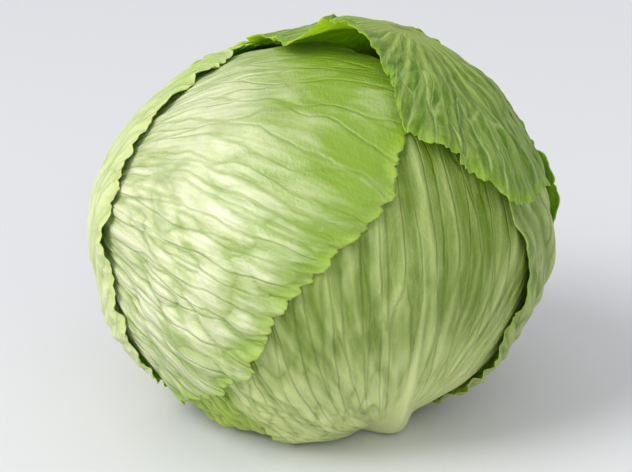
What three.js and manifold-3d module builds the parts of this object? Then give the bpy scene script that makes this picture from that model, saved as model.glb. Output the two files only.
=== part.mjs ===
// Iceberg lettuce: a tight heart on a short cut stem, wrapped in crisp leaves.
//
// Millimetres, +Z up. The head is built round its centre, and a place on it is a direction from
// that centre: a longitude (0 at the front, -Y, growing towards +X) and a latitude (90 on top).
// Each leaf is a thin closed shell over its own outline. It lies on the leaves inside it, and
// under the head the leaves flatten against the ground that the head stands on.

import * as THREE from 'three';
import { mergeVertices } from 'three/addons/utils/BufferGeometryUtils.js';
import Module from 'manifold-3d';

const HEAD_CENTRE_Z = 65.5;
const HEART_HALF_SIZE = new THREE.Vector3(66.5, 67, 51);
const HEART_DEPTH = 58;              // its half height below the centre
const LEAF_THICKNESS = 1.1;
const LEAF_PITCH = 2.4;              // from one leaf to the next one out
const GROUND_PITCH = 4;              // the same, between leaves flattened under the head
const INNER_LEAVES = 3;
const INNER_LEAF_REACH = 68;         // degrees from an inner leaf's middle to its margin
const COVER_MARGIN = 4;              // degrees past a leaf's margin that stay covered
const COVER_FADE = 9;                // degrees over which a leaf above then slopes down
const LIFT_START = 0.72;             // share of a leaf's reach where its margin starts to lift
const OUTLINE_SAMPLES = 180;

const STEM_PLACE = new THREE.Vector2(14, -4);
const STEM_RADIUS = 13;
const STEM_HEIGHT = 34;
const STEM_GAP = 0.4;
const STEM_SIDES = 28;

// The front leaf's midrib: the directions of its foot and its tip, and how far it reaches in
// degrees.
const MIDRIB = { foot: [46, -66], tip: [24, 30], height: 3.6, halfWidth: 5, reach: 62 };

// The outer leaves, from the innermost out. An outline point is longitude, latitude and how far
// the margin stands off the head there. The centre is where the leaf's rings of points start.
const OUTER_LEAVES = [
  {
    name: 'lower_left_leaf', colour: 0x9fb552, centre: [-45, -47], rings: 5, spokes: 22,
    outline: [[-12, -28, 0], [-5, -45, 0], [0, -62, 0], [35, -80, 0], [-100, -83, 0],
      [-112, -62, 0], [-105, -42, 0], [-80, -28, 0], [-45, -20, 0]],
  },
  {
    name: 'front_leaf', colour: 0x7f9347, centre: [28, -30], rings: 10, spokes: 36, hasMidrib: true,
    outline: [[44, -80, 0], [72, -62, 0], [76, -42, 0], [73, -20, 0], [70, 0, 0], [67, 20, 0],
      [58, 40, 0], [36, 54, 0], [6, 58, 0], [-22, 48, 0], [-37, 28, 0], [-40, 6, 0], [-36, -12, 0],
      [-28, -26, 0.5], [-26, -34, 1], [-21, -43, 1], [-19, -52, 0.5], [-10, -64, 0], [14, -76, 0]],
  },
  {
    name: 'left_leaf', colour: 0xcfe0a0, centre: [-85, 8], rings: 11, spokes: 40,
    outline: [[60, 74, 0], [37, 63, 0], [26, 50, 0], [23, 37, 1], [10, 22, 1], [1, 12, 1.5],
      [-4, 3, 2], [-12, -7, 2], [-16, -17, 2], [-24, -29, 2], [-40, -41, 2], [-62, -54, 0],
      [-84, -63, 0], [-112, -62, 0], [-138, -50, 0], [-155, -30, 0], [-160, 0, 0], [-162, 30, 0],
      [-170, 58, 0], [110, 80, 0]],
  },
  {
    name: 'right_wrapper_leaf', colour: 0x8a9c58, centre: [85, -18], rings: 8, spokes: 28,
    outline: [[53, 16, 0], [54, 6, 2.5], [58, 0, 3], [59, -10, 3], [60, -20, 3], [57, -28, 2.5],
      [58, -40, 1.5], [72, -54, 0], [104, -76, 0], [122, -62, 0], [128, -38, 0], [128, -5, 0],
      [118, 20, 0], [96, 34, 0], [72, 30, 0]],
  },
  {
    name: 'left_wrapper_leaf', colour: 0xb5c67a, centre: [-120, -8], rings: 9, spokes: 34,
    outline: [[-64, 46, 1], [-62, 34, 3], [-64, 19, 3.5], [-67, 4, 3.5], [-65, -10, 3],
      [-60, -20, 3], [-65, -32, 2], [-80, -48, 1], [-90, -64, 0], [-50, -81, 0], [-160, -76, 0],
      [-172, -50, 0], [178, -20, 0], [176, 12, 0], [-175, 40, 0], [-140, 56, 0], [-95, 58, 0]],
  },
  {
    name: 'crown_leaf', colour: 0x6f8a38, centre: [150, 50], rings: 11, spokes: 44,
    outline: [[-67, 45, 1], [-66, 55, 3], [-50, 68, 7], [-20, 79, 10], [18, 82, 10], [40, 72, 5],
      [36, 62, 2], [31, 52, 2], [26, 43, 1.5], [29, 37, 1.5], [38, 31, 1.5], [40, 26, 1.5],
      [47, 20, 1.5], [52, 15, 1], [62, 14, 1.5], [74, 13, 2], [92, 8, 0], [112, -6, 0],
      [135, -28, 0], [150, -58, 0], [178, -62, 0], [-160, -38, 0], [-150, -8, 0], [-135, 22, 0],
      [-105, 40, 0], [-80, 41, 0]],
  },
  {
    name: 'back_leaf', colour: 0x86994f, centre: [148, -12], rings: 9, spokes: 34,
    outline: [[98, 56, 1.5], [94, 40, 1.5], [91, 24, 1.5], [89, 8, 1.5], [91, -10, 1.5],
      [98, -32, 1], [108, -54, 0.5], [110, -80, 0], [-170, -80, 0], [-145, -58, 0.5],
      [-142, -34, 1], [-150, -8, 1.5], [-160, 18, 2], [-178, 40, 2], [150, 56, 2],
      [122, 62, 1.5]],
  },
];

const degrees = THREE.MathUtils.degToRad;

function direction(longitude, latitude) {
  const across = Math.cos(degrees(latitude));
  return new THREE.Vector3(
    across * Math.sin(degrees(longitude)),
    -across * Math.cos(degrees(longitude)),
    Math.sin(degrees(latitude)),
  );
}

// Gives a leaf its own compass: up is its centre, and bearings are measured from east to north.
function addCompass(leaf) {
  leaf.up = direction(...leaf.centre);
  leaf.east = new THREE.Vector3(0, 0, 1).cross(leaf.up).normalize();
  leaf.north = leaf.up.clone().cross(leaf.east);
}

function bearingAndArc(leaf, way) {
  const bearing = Math.atan2(way.dot(leaf.north), way.dot(leaf.east));
  return { bearing, arc: Math.acos(THREE.MathUtils.clamp(way.dot(leaf.up), -1, 1)) };
}

function directionAt(leaf, bearing, arc) {
  return leaf.up.clone().multiplyScalar(Math.cos(arc))
    .addScaledVector(leaf.east, Math.sin(arc) * Math.cos(bearing))
    .addScaledVector(leaf.north, Math.sin(arc) * Math.sin(bearing));
}

// Samples the closed curve through a leaf's outline, sorted by bearing, so that the margin's
// distance and lift can be looked up for any bearing.
function addMargin(leaf) {
  const ways = leaf.outline.map(([longitude, latitude]) => direction(longitude, latitude));
  const curve = new THREE.CatmullRomCurve3(ways, true);
  const lifts = new THREE.CatmullRomCurve3(
    leaf.outline.map(([, , lift]) => new THREE.Vector3(lift, 0, 0)), true);
  leaf.margin = Array.from({ length: OUTLINE_SAMPLES }, (_, i) => {
    const along = i / OUTLINE_SAMPLES;
    const place = bearingAndArc(leaf, curve.getPoint(along).normalize());
    return { ...place, lift: Math.max(0, lifts.getPoint(along).x) };
  }).sort((a, b) => a.bearing - b.bearing);
}

function marginAt(leaf, bearing) {
  const { margin } = leaf;
  let next = margin.findIndex((sample) => sample.bearing > bearing);
  if (next < 0) next = 0;
  const after = margin[next];
  const before = margin[(next + margin.length - 1) % margin.length];
  const turn = 2 * Math.PI;
  const span = (after.bearing - before.bearing + turn) % turn;
  const share = span > 0 ? ((bearing - before.bearing + turn) % turn) / span : 0;
  return {
    arc: THREE.MathUtils.lerp(before.arc, after.arc, share),
    lift: THREE.MathUtils.lerp(before.lift, after.lift, share),
  };
}

// 1 on the leaf and just past its margin, sloping to 0 beyond.
function coverage(leaf, way) {
  const { bearing, arc } = bearingAndArc(leaf, way);
  const beyond = arc - marginAt(leaf, bearing).arc - degrees(COVER_MARGIN);
  return 1 - THREE.MathUtils.smoothstep(beyond, 0, degrees(COVER_FADE));
}

function totalCoverage(leaves, way) {
  return leaves.reduce((sum, leaf) => sum + coverage(leaf, way), 0);
}

// Distance from the head's centre to the heart's surface, an ellipsoid that is flatter on top.
function heartRadius(way) {
  const height = way.z > 0 ? HEART_HALF_SIZE.z : HEART_DEPTH;
  return 1 / Math.hypot(way.x / HEART_HALF_SIZE.x, way.y / HEART_HALF_SIZE.y, way.z / height);
}

// Distance to the level plane that lies a number of leaves above the ground.
function groundRadius(way, leavesBelow) {
  const fall = -way.z;
  return fall > 0.1 ? (HEAD_CENTRE_Z - leavesBelow * GROUND_PITCH) / fall : Infinity;
}

// Both faces of a leaf with the given leaves under it and over it. The lift raises the whole
// leaf, and the rib thickens it outwards.
function leafFaces(way, leavesUnder, leavesOver, lift = 0, rib = 0) {
  const ground = groundRadius(way, leavesOver);
  const stacked = heartRadius(way) + leavesUnder * LEAF_PITCH + LEAF_THICKNESS + lift;
  return {
    outer: Math.min(stacked + rib, ground),
    inner: Math.min(stacked, ground) - LEAF_THICKNESS,
  };
}

// A closed shell over a leaf's outline: rings of points from the leaf's centre to its margin,
// once on the outer face and once on the inner face. facesAt gives both faces' distances from
// the head's centre.
function shellGeometry(leaf, facesAt) {
  const positions = [];
  const indices = [];
  const { rings, spokes } = leaf;
  const addPoint = (way, radius) => positions.push(...way.clone().multiplyScalar(radius).toArray());
  for (const face of ['outer', 'inner']) {
    addPoint(leaf.up, facesAt(leaf.up, 0)[face]);
    for (let ring = 1; ring <= rings; ring++) {
      for (let spoke = 0; spoke < spokes; spoke++) {
        const bearing = 2 * Math.PI * spoke / spokes - Math.PI;
        const margin = marginAt(leaf, bearing);
        const share = ring / rings;
        const way = directionAt(leaf, bearing, margin.arc * share);
        const lift = margin.lift * THREE.MathUtils.smoothstep(share, LIFT_START, 1);
        addPoint(way, facesAt(way, lift)[face]);
      }
    }
  }
  const faceSize = 1 + rings * spokes;
  const at = (face, ring, spoke) => face * faceSize + 1 + (ring - 1) * spokes + spoke % spokes;
  const addQuad = (a, b, c, d) => indices.push(a, b, c, a, c, d);
  for (let spoke = 0; spoke < spokes; spoke++) {
    indices.push(0, at(0, 1, spoke), at(0, 1, spoke + 1));
    indices.push(faceSize, at(1, 1, spoke + 1), at(1, 1, spoke));
    for (let ring = 1; ring < rings; ring++) {
      addQuad(at(0, ring, spoke), at(0, ring + 1, spoke),
        at(0, ring + 1, spoke + 1), at(0, ring, spoke + 1));
      addQuad(at(1, ring, spoke), at(1, ring, spoke + 1),
        at(1, ring + 1, spoke + 1), at(1, ring + 1, spoke));
    }
    addQuad(at(0, rings, spoke), at(1, rings, spoke),
      at(1, rings, spoke + 1), at(0, rings, spoke + 1));
  }
  const geometry = new THREE.BufferGeometry();
  geometry.setAttribute('position', new THREE.Float32BufferAttribute(positions, 3));
  geometry.setIndex(indices);
  return geometry;
}

// Height of the front leaf's thick midrib over its blade. It is tallest at the stem and fades
// up the leaf.
function midribHeight(way) {
  const foot = direction(...MIDRIB.foot);
  const side = foot.clone().cross(direction(...MIDRIB.tip)).normalize();
  const run = Math.acos(THREE.MathUtils.clamp(way.dot(foot), -1, 1));
  const aside = way.dot(side) * HEART_HALF_SIZE.x;
  const fade = 1 - THREE.MathUtils.smoothstep(run, 0, degrees(MIDRIB.reach));
  return MIDRIB.height * fade * Math.exp(-((aside / MIDRIB.halfWidth) ** 2));
}

function outerLeafGeometry(index) {
  const leaf = OUTER_LEAVES[index];
  const under = OUTER_LEAVES.slice(0, index);
  const over = OUTER_LEAVES.slice(index + 1);
  return shellGeometry(leaf, (way, lift) => {
    const leavesUnder = INNER_LEAVES + totalCoverage(under, way);
    const rib = leaf.hasMidrib ? midribHeight(way) : 0;
    const ribUnder = under.some((other) => other.hasMidrib) ? midribHeight(way) : 0;
    return leafFaces(way, leavesUnder, totalCoverage(over, way), lift + ribUnder, rib);
  });
}

// The inner leaves are cups that share the head's middle, each turned by the golden angle.
function innerLeaf(index) {
  const goldenAngle = 137.5;
  const centre = [60 + goldenAngle * index, 8];
  const leaf = { centre, rings: 7, spokes: 26 };
  addCompass(leaf);
  leaf.margin = Array.from({ length: leaf.spokes }, (_, i) => {
    const bearing = 2 * Math.PI * i / leaf.spokes - Math.PI;
    const arc = degrees(INNER_LEAF_REACH + 6 * Math.sin(3 * bearing + index));
    return { bearing, arc, lift: 0 };
  });
  return leaf;
}

function innerLeafGeometry(index) {
  return shellGeometry(innerLeaf(index), (way) => {
    const leavesOver = INNER_LEAVES - 1 - index + totalCoverage(OUTER_LEAVES, way);
    return leafFaces(way, index, leavesOver);
  });
}

function heartGeometry() {
  const geometry = new THREE.SphereGeometry(1, 28, 16);
  geometry.rotateX(Math.PI / 2);
  const positions = geometry.attributes.position;
  const gap = LEAF_PITCH - LEAF_THICKNESS;
  for (let i = 0; i < positions.count; i++) {
    const way = new THREE.Vector3().fromBufferAttribute(positions, i).normalize();
    const leavesOver = INNER_LEAVES + totalCoverage(OUTER_LEAVES, way);
    const radius = Math.min(heartRadius(way), groundRadius(way, leavesOver)) - gap;
    positions.setXYZ(i, ...way.multiplyScalar(radius).toArray());
  }
  return geometry;
}

// The stem: a stub with a flat cut face, tapering into the heart.
function stemGeometry(grown) {
  const profile = [[0, 0], [STEM_RADIUS - 0.8, 0], [STEM_RADIUS, 2.5], [STEM_RADIUS, 12],
    [STEM_RADIUS - 3, 24], [STEM_RADIUS - 8, STEM_HEIGHT - 2], [0, STEM_HEIGHT]];
  const points = profile.map(([radius, height]) => new THREE.Vector2(
    radius > 0 ? radius + grown : 0,
    height > 0 ? height + grown : -grown,
  ));
  const geometry = new THREE.LatheGeometry(points, STEM_SIDES);
  geometry.rotateX(Math.PI / 2);
  geometry.translate(STEM_PLACE.x, STEM_PLACE.y, -HEAD_CENTRE_Z);
  return geometry;
}

const wasm = await Module();
wasm.setup();

function toSolid(geometry) {
  const bare = new THREE.BufferGeometry();
  bare.setAttribute('position', geometry.attributes.position);
  bare.setIndex(geometry.index);
  const merged = mergeVertices(bare, 1e-3);
  return new wasm.Manifold(new wasm.Mesh({
    numProp: 3,
    vertProperties: merged.attributes.position.array,
    triVerts: merged.index.array,
  }));
}

function toGeometry(solid) {
  const { vertProperties, triVerts } = solid.getMesh();
  const geometry = new THREE.BufferGeometry();
  geometry.setAttribute('position', new THREE.BufferAttribute(vertProperties, 3));
  geometry.setIndex(new THREE.BufferAttribute(triVerts, 1));
  return geometry;
}

function clearOfStem(geometry) {
  return toGeometry(toSolid(geometry).subtract(toSolid(stemGeometry(STEM_GAP))));
}

function makeMesh(name, geometry, colour) {
  geometry.computeVertexNormals();
  const material = new THREE.MeshStandardMaterial({ color: colour, roughness: 0.55, metalness: 0 });
  const mesh = new THREE.Mesh(geometry, material);
  mesh.name = name;
  return mesh;
}

for (const leaf of OUTER_LEAVES) {
  addCompass(leaf);
  addMargin(leaf);
}

const lettuce = new THREE.Group();
lettuce.add(makeMesh('stem', stemGeometry(0), 0xd8d9a8));
lettuce.add(makeMesh('heart', clearOfStem(heartGeometry()), 0xdfe6a6));
for (let index = 0; index < INNER_LEAVES; index++) {
  lettuce.add(makeMesh(`inner_leaf_${index + 1}`, clearOfStem(innerLeafGeometry(index)), 0xc9d98c));
}
OUTER_LEAVES.forEach((leaf, index) => {
  lettuce.add(makeMesh(leaf.name, clearOfStem(outerLeafGeometry(index)), leaf.colour));
});

// The origin is the middle of the head's box, on the ground.
const box = new THREE.Box3().setFromObject(lettuce, true);
const middle = box.getCenter(new THREE.Vector3());
lettuce.position.set(-middle.x, -middle.y, -box.min.z);

export default lettuce;
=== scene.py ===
import math
import bpy
import numpy as np
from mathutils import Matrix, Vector


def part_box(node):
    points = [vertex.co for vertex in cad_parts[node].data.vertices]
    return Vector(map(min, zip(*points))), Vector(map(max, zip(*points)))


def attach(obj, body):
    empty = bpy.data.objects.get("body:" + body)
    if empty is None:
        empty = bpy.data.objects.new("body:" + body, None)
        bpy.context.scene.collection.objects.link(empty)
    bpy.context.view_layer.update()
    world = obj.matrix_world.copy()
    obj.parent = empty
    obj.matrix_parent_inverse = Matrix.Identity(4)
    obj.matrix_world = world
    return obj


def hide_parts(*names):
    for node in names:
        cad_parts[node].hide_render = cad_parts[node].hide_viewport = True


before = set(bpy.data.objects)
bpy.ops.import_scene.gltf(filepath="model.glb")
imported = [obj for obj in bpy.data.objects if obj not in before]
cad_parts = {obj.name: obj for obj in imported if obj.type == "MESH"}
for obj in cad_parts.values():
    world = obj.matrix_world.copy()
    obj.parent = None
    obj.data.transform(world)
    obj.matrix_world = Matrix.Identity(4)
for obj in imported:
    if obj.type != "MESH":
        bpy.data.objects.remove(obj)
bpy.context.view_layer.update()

# Iceberg lettuce, in metres. A place on the head is a direction from its centre: a longitude
# (0 at the front, growing towards +X) and a latitude (90 on top), both in degrees.

head = {
    "heartHalfSize": (0.0665, 0.067, 0.051),
    "heartDepth": 0.060,        # its half height below the centre
    "heartGap": 0.0013,
    "leafPitch": 0.0024,        # from one leaf to the next one out
    "groundPitch": 0.0022,      # the same, between leaves flattened under the head
    "groundBlend": 0.004,       # how softly the head's side rounds into its flat underside
    "innerLeaves": 3,
    "coverMargin": 2.5,         # degrees past a leaf's margin that stay covered
    "coverFade": 13.0,          # degrees over which a leaf above then slopes down
    "rimReach": 0.006,          # the strip along a margin that thins and changes colour
    "detail": 1.0,
}

heartLow, heartHigh = (np.array(corner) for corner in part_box("heart"))
headCentre = (heartLow + heartHigh) / 2
headCentre[2] = heartHigh[2] + head["heartGap"] - head["heartHalfSize"][2]
stemLow, stemHigh = (np.array(corner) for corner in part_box("stem"))
stemCentre = (stemLow + stemHigh) / 2
stemRadius = (stemHigh[0] - stemLow[0]) / 2
headRadius = 0.077              # turns an angle on the head into a length
fanRadius = 0.062               # turns an angle of a vein fan into a width


def smooth(low, high, value):
    # 0 below low, 1 above high, an S-curve between
    share = np.clip((value - low) / (high - low), 0.0, 1.0)
    return share * share * (3.0 - 2.0 * share)


def softMin(first, second, blend):
    # the smaller of two values, rounded where they are within blend of each other
    near = np.clip(1.0 - np.abs(first - second) / blend, 0.0, 1.0)
    return np.minimum(first, second) - near * near * blend / 4.0


def direction(longitude, latitude):
    # the unit vector (cos lat sin lon, -cos lat cos lon, sin lat)
    lon, lat = np.radians(longitude), np.radians(latitude)
    return np.stack([np.cos(lat) * np.sin(lon), -np.cos(lat) * np.cos(lon), np.sin(lat)], -1)


def compass(place):
    # east, north and up at a place on the head
    up = direction(*place)
    east = np.cross([0.0, 0.0, 1.0], up)
    east /= np.linalg.norm(east)
    return np.array([east, np.cross(up, east), up])


def bearingAndArc(needle, ways):
    # polar coordinates round a compass: angle from east to north, and angle from its up
    local = ways @ needle.T
    bearing = np.arctan2(local[..., 1], local[..., 0])
    return bearing, np.arccos(np.clip(local[..., 2], -1.0, 1.0))


def wayAt(needle, bearing, arc):
    # the way back: sin arc times the bearing's cosine and sine, cos arc along the compass's up
    local = np.stack([np.sin(arc) * np.cos(bearing), np.sin(arc) * np.sin(bearing),
                      np.cos(arc)], -1)
    return local @ needle


randomTable = np.random.default_rng(11)
gradients = randomTable.normal(size=(256, 3))
gradients /= np.linalg.norm(gradients, axis=1)[:, None]
shuffled = randomTable.permutation(256)


def noise(points, seed=0):
    # gradient noise, about -0.7 to 0.7: slopes at the lattice corners, blended inside a cell
    cell = np.floor(points).astype(np.int64)
    inside = points - cell
    ease = inside ** 3 * (inside * (inside * 6.0 - 15.0) + 10.0)
    total = np.zeros(points.shape[:-1])
    for corner in np.ndindex(2, 2, 2):
        at = cell + corner
        slot = shuffled[(at[..., 0] + seed) & 255]
        slot = shuffled[(slot + at[..., 1]) & 255]
        slot = shuffled[(slot + at[..., 2]) & 255]
        height = np.sum(gradients[slot] * (inside - corner), -1)
        weight = np.prod(np.where(np.array(corner) == 1, ease, 1.0 - ease), -1)
        total += height * weight
    return total


def noise2(across, along, seed=0):
    # the same noise on a level slice that the seed picks
    across, along = np.broadcast_arrays(across, along)
    return noise(np.stack([across, along, np.full(across.shape, seed * 7.31)], -1), seed)


def closedWave(share, knots, seed):
    # smooth random wave round a closed line, with about that many bumps, -1 to 1
    turn = 2.0 * np.pi * share
    radius = knots / (2.0 * np.pi)
    ring = np.stack([np.cos(turn) * radius, np.sin(turn) * radius,
                     np.full(np.shape(share), seed * 3.7)], -1)
    return 1.5 * noise(ring, seed)


def closedCurve(points, count):
    # Catmull-Rom curve through the points and back to the first
    place = np.arange(count) / count * len(points)
    start = place.astype(int)
    t = (place - start)[:, None]
    p0, p1, p2, p3 = (points[(start + step) % len(points)] for step in (-1, 0, 1, 2))
    return 0.5 * (2 * p1 + (p2 - p0) * t + (2 * p0 - 5 * p1 + 4 * p2 - p3) * t ** 2
                  + (3 * p1 - p0 - 3 * p2 + p3) * t ** 3)


def addMargin(leaf):
    # the outline as a table: bearing, reach and lift at equal steps of length round the leaf
    outline = np.array(leaf["outline"], float)
    curve = closedCurve(np.column_stack([direction(outline[:, 0], outline[:, 1]),
                                         outline[:, 2]]), 3000)
    ways = curve[:, :3] / np.linalg.norm(curve[:, :3], axis=1)[:, None]
    leaf["compass"] = compass(leaf["centre"])
    bearing, arc = bearingAndArc(leaf["compass"], ways)
    for _ in range(60):         # draws the margin back to the side of the stem
        ways = wayAt(leaf["compass"], bearing, arc)
        fall = np.maximum(-ways[:, 2], 0.05)
        foot = ways[:, :2] * (headCentre[2] / fall)[:, None] + headCentre[:2] - stemCentre[:2]
        hits = (np.hypot(foot[:, 0], foot[:, 1]) < stemRadius + 0.0008) & (ways[:, 2] < -0.5)
        arc = np.where(hits, arc - 0.01, arc)
    order = np.argsort(bearing)
    bearing, arc, lift = bearing[order], arc[order], np.maximum(curve[order, 3], 0.0)
    steps = wayAt(leaf["compass"], bearing, arc)
    length = np.linalg.norm(np.roll(steps, -1, 0) - steps, axis=1)
    length = np.minimum(length, 0.05)
    share = np.concatenate([[0.0], np.cumsum(length)])
    leaf["marginLength"] = share[-1] * headRadius
    leaf["margin"] = {"bearing": bearing, "arc": arc, "lift": lift * 0.001,
                      "share": share[:-1] / share[-1]}


def marginAt(leaf, bearing):
    # reach and lift of the margin in a bearing, on straight lines between the table's rows
    table = leaf["margin"]
    return [np.interp(bearing, table["bearing"], table[name], period=2.0 * np.pi)
            for name in ("arc", "lift")]


def marginAlong(leaf, share):
    # bearing, reach and lift at a share of the margin's length; the last row joins the first
    table = leaf["margin"]
    steps = np.append(table["share"], 1.0)
    values = []
    for name in ("bearing", "arc", "lift"):
        first = table[name][0] + (2.0 * np.pi if name == "bearing" else 0.0)
        values.append(np.interp(share, steps, np.append(table[name], first)))
    return values


def coverage(leaf, ways):
    # 1 on the leaf and just past its margin, fading to 0 beyond
    bearing, arc = bearingAndArc(leaf["compass"], ways)
    beyond = np.degrees(arc - marginAt(leaf, bearing)[0]) - head["coverMargin"]
    return 1.0 - smooth(0.0, head["coverFade"], beyond)


def heartRadius(ways):
    # distance from the head's centre to an ellipsoid: one over the root of the squared shares
    # of its half sizes, plus a few slow swells
    swell = 0.0016 * noise(ways * 2.1, 5) + 0.0009 * noise(ways * 4.3, 9)
    across, along, height = head["heartHalfSize"]
    height = np.where(ways[..., 2] > 0.0, height, head["heartDepth"])
    return swell + 1.0 / np.sqrt((ways[..., 0] / across) ** 2 + (ways[..., 1] / along) ** 2
                                 + (ways[..., 2] / height) ** 2)


def groundRadius(ways, leavesOver):
    # distance to the level plane that lies a number of leaves above the ground
    fall = np.maximum(-ways[..., 2], 0.02)
    return (headCentre[2] - leavesOver * head["groundPitch"]) / fall


midrib = {
    "foot": (43, -66), "bearing": 125.5, "turn": -0.22, "bend": 0.25, "bendFade": 0.3,
    "height": 0.0105, "heightFade": 0.34, "halfWidth": 0.019, "widthFade": 0.19,
    "colour": (0.6, 0.68, 0.3),
}


def midribHeight(ways):
    # a bell curve across a line from the foot, which bends more near it; the curve's height
    # and half width shrink with e to the minus distance
    bearing, arc = bearingAndArc(compass(midrib["foot"]), ways)
    aside = bearing - np.radians(midrib["bearing"]) - midrib["turn"] * arc
    aside = aside + midrib["bend"] * np.exp(-arc / midrib["bendFade"])
    aside = (aside + np.pi) % (2.0 * np.pi) - np.pi
    across = aside * np.sin(arc) * headRadius
    halfWidth = 0.0011 + midrib["halfWidth"] * np.exp(-arc / midrib["widthFade"])
    height = 0.0002 + midrib["height"] * np.exp(-arc / midrib["heightFade"])
    height = height * (1.0 - smooth(1.1, 1.75, arc)) * (np.abs(aside) < 1.6)
    return height * np.exp(-((across / halfWidth) ** 2))


def veinCoordinates(leaf, ways):
    # a fan of veins: its angle (in veins), the distance from the fan's source, and the gap
    # between two veins in metres
    veins = leaf["veins"]
    bearing, arc = bearingAndArc(compass(veins["source"]), ways)
    angle = (bearing - np.radians(veins["middle"]) + np.pi) % (2.0 * np.pi) - np.pi
    bent = angle - veins["turn"] * arc
    bent = bent + veins["sag"] * (arc - 0.8) * (1.0 - smooth(0.0, 0.9, angle))
    opening = veins["opening"] + (1.0 - veins["opening"]) * smooth(0.3, 1.35, arc)
    spacing = 2.0 * np.pi / veins["count"]
    distance = arc * headRadius
    waver = 0.2 * noise2(bent * 5.0, distance / 0.03, leaf["seed"])
    waver = waver + 0.06 * noise2(bent * 14.0, distance / 0.011, leaf["seed"] + 1)
    place = bent / opening / spacing + waver
    width = np.maximum(np.sin(arc), 0.05) * headRadius * spacing * opening
    return bent, place, distance, width


def veinRidges(leaf, place, distance, width):
    # every vein forks again and again; returns ridge height 0 to 1 and the gap to the
    # nearest vein in metres
    number = np.floor(place).astype(int)
    between = place - number
    chance = np.random.default_rng(leaf["seed"]).random((64, 16))[number % 64]
    ridge = np.zeros(place.shape)
    pleat = np.zeros(place.shape)
    nearest = np.full(place.shape, 0.02)

    def addVein(position, start, height, halfWidth, strength=0.0):
        # a bell curve across the vein that grows from its start and then halves in height
        gap = np.abs(between - position) * width
        grown = smooth(start, start + 0.008, distance)
        taper = 1.0 - 0.5 * smooth(start, start + 0.09, distance)
        profile = height * grown * taper * np.exp(-((gap / halfWidth) ** 2))
        np.maximum(ridge, profile, out=ridge)
        wide = grown * strength * np.exp(-((gap / (0.001 + 0.1 * width)) ** 2))
        np.maximum(pleat, wide, out=pleat)
        np.minimum(nearest, gap + 0.02 * (1.0 - grown), out=nearest)

    firstFork = 0.018 + 0.02 * chance[..., 0]
    fork = 0.38 + 0.24 * chance[..., 1]
    fromLeft = chance[..., 2] < 0.5
    opened = smooth(firstFork, firstFork + 0.045, distance)
    middle = np.where(fromLeft, fork * opened, 1.0 - (1.0 - fork) * opened)
    strength = np.random.default_rng(leaf["seed"] + 1).random(64) ** 1.5 + 0.1
    addVein(0.0, 0.0, 1.0, 0.0011, strength[number % 64])
    addVein(1.0, 0.0, 1.0, 0.0011, strength[(number + 1) % 64])
    addVein(middle, firstFork, 0.8, 0.0009, 0.5)
    edges = [np.zeros(place.shape), middle, np.ones(place.shape)]
    column = 3
    for level, (start, height, halfWidth) in enumerate(
            [(0.034, 0.5, 0.0008), (0.052, 0.3, 0.0007)]):
        finer = [edges[0]]
        for left, right in zip(edges[:-1], edges[1:]):
            begins = start + 0.024 * chance[..., column]
            opened = smooth(begins, begins + 0.03, distance)
            aim = 0.36 + 0.28 * chance[..., (column + 1) % 16]
            fromLeft = chance[..., (column + 2) % 16] < 0.5
            share = np.where(fromLeft, aim * opened, 1.0 - (1.0 - aim) * opened)
            branch = left + (right - left) * share
            room = smooth(0.0006, 0.0014, width / (4.0, 8.0)[level])
            addVein(branch, begins, height * room, halfWidth)
            finer += [branch, right]
            column = (column + 3) % 16
        edges = finer
    return ridge, pleat, nearest


def leafRelief(leaf, ways):
    # veins, the quilting between them, pleats, puckers and slow swells, each times its height;
    # puckers are the root of a noise drawn out along the veins
    relief, pucker = leaf["relief"], leaf["pucker"]
    bent, place, distance, width = veinCoordinates(leaf, ways)
    ridge, pleat, nearest = veinRidges(leaf, place, distance, width)
    across = bent * fanRadius
    warp = 0.5 * noise2(across / 0.02, distance / 0.02, leaf["seed"] + 3)
    folds = noise2(across / pucker["width"] + warp, distance / pucker["length"] + warp,
                   leaf["seed"] + 4)
    small = noise2(across / pucker["width"] * 2.1, distance / pucker["length"] * 1.8 + warp,
                   leaf["seed"] + 5)
    bulge = np.sqrt(np.abs(folds) * 1.6) + 0.35 * small - 0.45
    quilt = 1.0 - np.exp(-((nearest / 0.0022) ** 2))
    where = puckerStrength(leaf, ways)
    rib = midribHeight(ways) / midrib["height"] if leaf is frontLeaf else np.zeros(len(ways))
    rib = np.clip(rib * 8.0, 0.0, 1.0)
    ridge, pleat, quilt = ((1.0 - rib) * part for part in (ridge, pleat, quilt))
    bulge = bulge * (1.0 - rib) * smooth(0.008, 0.034, distance)
    height = (relief["vein"] * ridge + relief["quilt"] * quilt + relief["pleat"] * pleat
              + pucker["height"] * where * bulge
              + relief["swell"] * noise(ways * 5.0, leaf["seed"] + 6))
    return {"height": height, "vein": ridge, "rib": rib, "bulge": bulge * where,
            "pleat": pleat, "crinkle": where, "across": across, "along": distance}


def puckerStrength(leaf, ways):
    # puckers are strongest round one place on the leaf and fade with distance from it
    place, near, far, floor = leaf["pucker"]["strongest"]
    away = np.degrees(np.arccos(np.clip(ways @ direction(*place), -1.0, 1.0)))
    return floor + (1.0 - floor) * (1.0 - smooth(near, far, away))


def layersAt(leaf, ways):
    # how many leaves lie under a leaf and over it: the sums of their coverages
    if leaf["order"] < head["innerLeaves"]:
        over = sum(coverage(other, ways) for other in leaves)
        return leaf["order"], head["innerLeaves"] - 1 - leaf["order"] + over
    index = leaf["order"] - head["innerLeaves"]
    none = np.zeros(len(ways))
    under = sum((coverage(other, ways) for other in leaves[:index]), none)
    over = sum((coverage(other, ways) for other in leaves[index + 1:]), none)
    return under + head["innerLeaves"], over


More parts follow.
